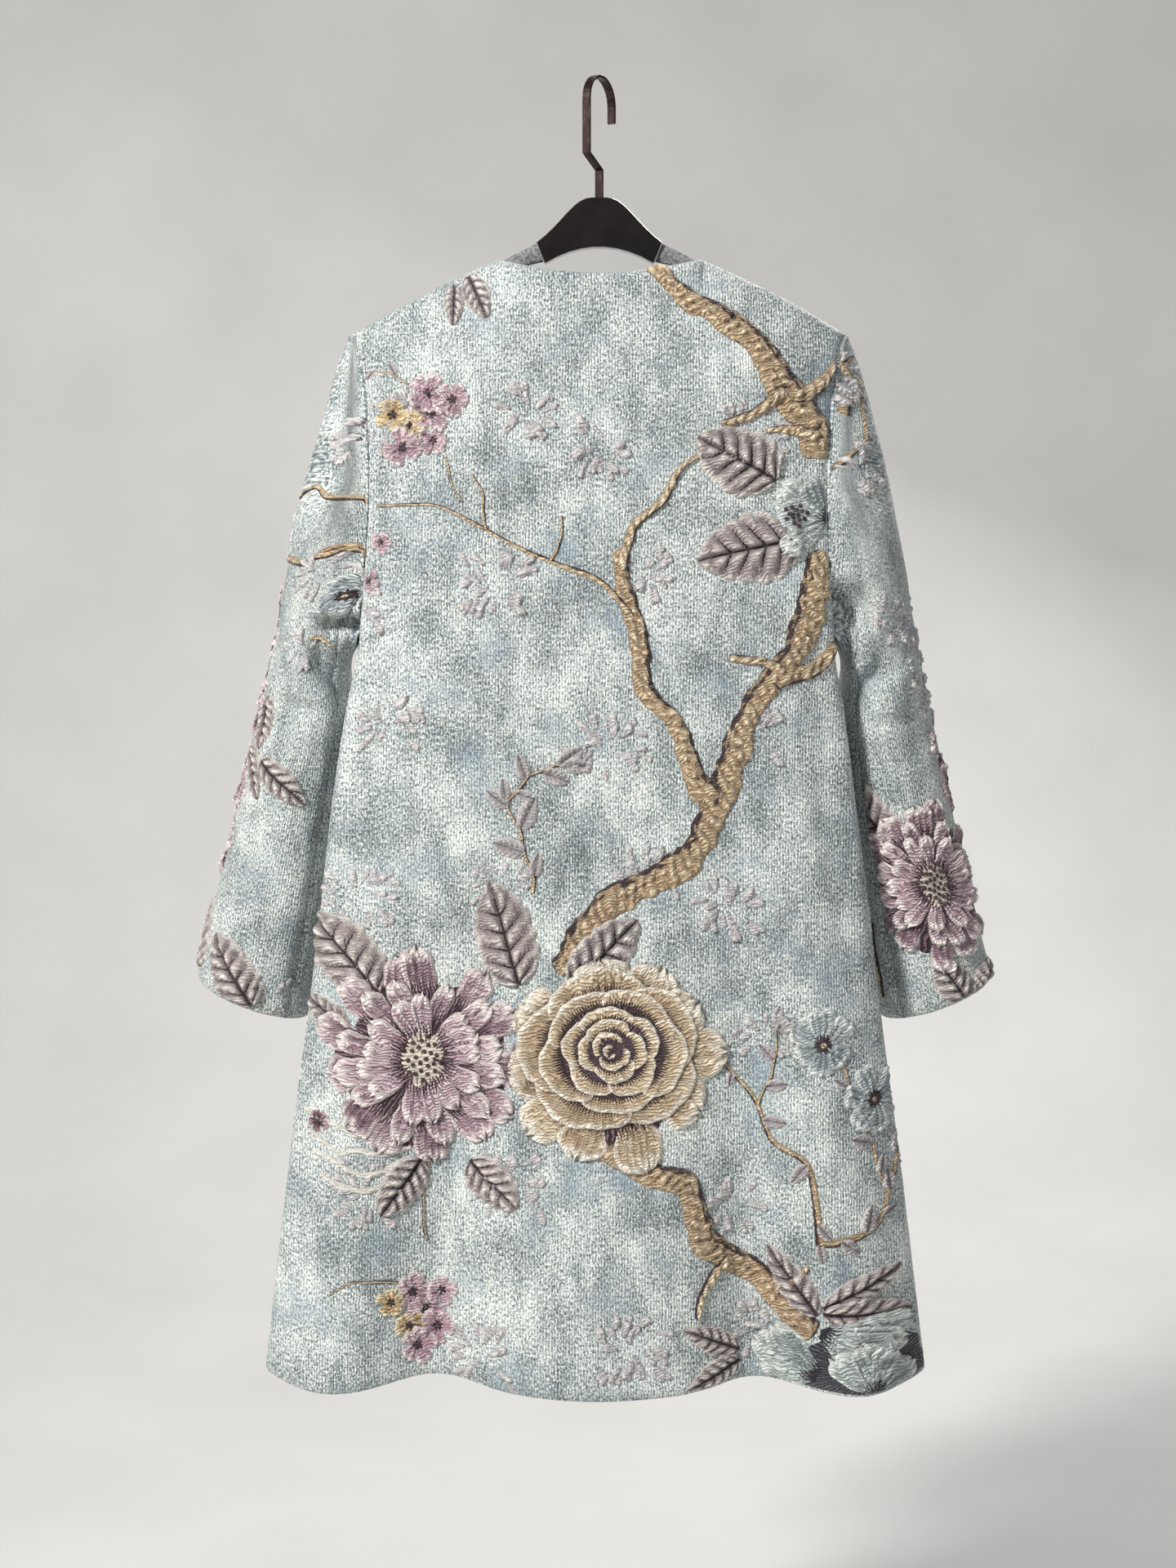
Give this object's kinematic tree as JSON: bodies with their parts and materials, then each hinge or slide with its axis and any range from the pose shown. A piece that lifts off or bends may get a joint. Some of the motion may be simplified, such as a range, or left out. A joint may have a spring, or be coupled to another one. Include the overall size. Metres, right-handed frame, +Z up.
{
  "type": "long jacquard coat on a hanger",
  "caption": "Collarless A-line long coat in raised-figure floral jacquard, two-piece sleeves, hung open-hemmed on a plastic hanger with a flat metal hook.",
  "frame": {"origin": "inside top of the hook's bend, where it rests on a rail", "axes": "+Z up, +Y the way the wearer faces, +X the wearer's right"},
  "size_m": [0.7, 0.2102, 1.1064],
  "materials": {
    "jacquard": "heavy matelasse jacquard, pale blue-grey ground with raised mauve, gold and tan figures",
    "gloss_plastic": "glossy black moulded plastic",
    "grip_plastic": "dull dark grey with a fine non-slip grain",
    "dark_steel": "dark lacquered flat steel strip"
  },
  "bodies": {
    "root": {"back": "jacquard", "front_left": "jacquard", "front_right": "jacquard", "sleeve_top_left": "jacquard", "sleeve_under_left": "jacquard", "sleeve_top_right": "jacquard", "sleeve_under_right": "jacquard", "hanger_centre": "gloss_plastic", "hanger_arm_left": "grip_plastic", "hanger_arm_right": "grip_plastic", "hanger_hook": "dark_steel"}
  },
  "joints": []
}
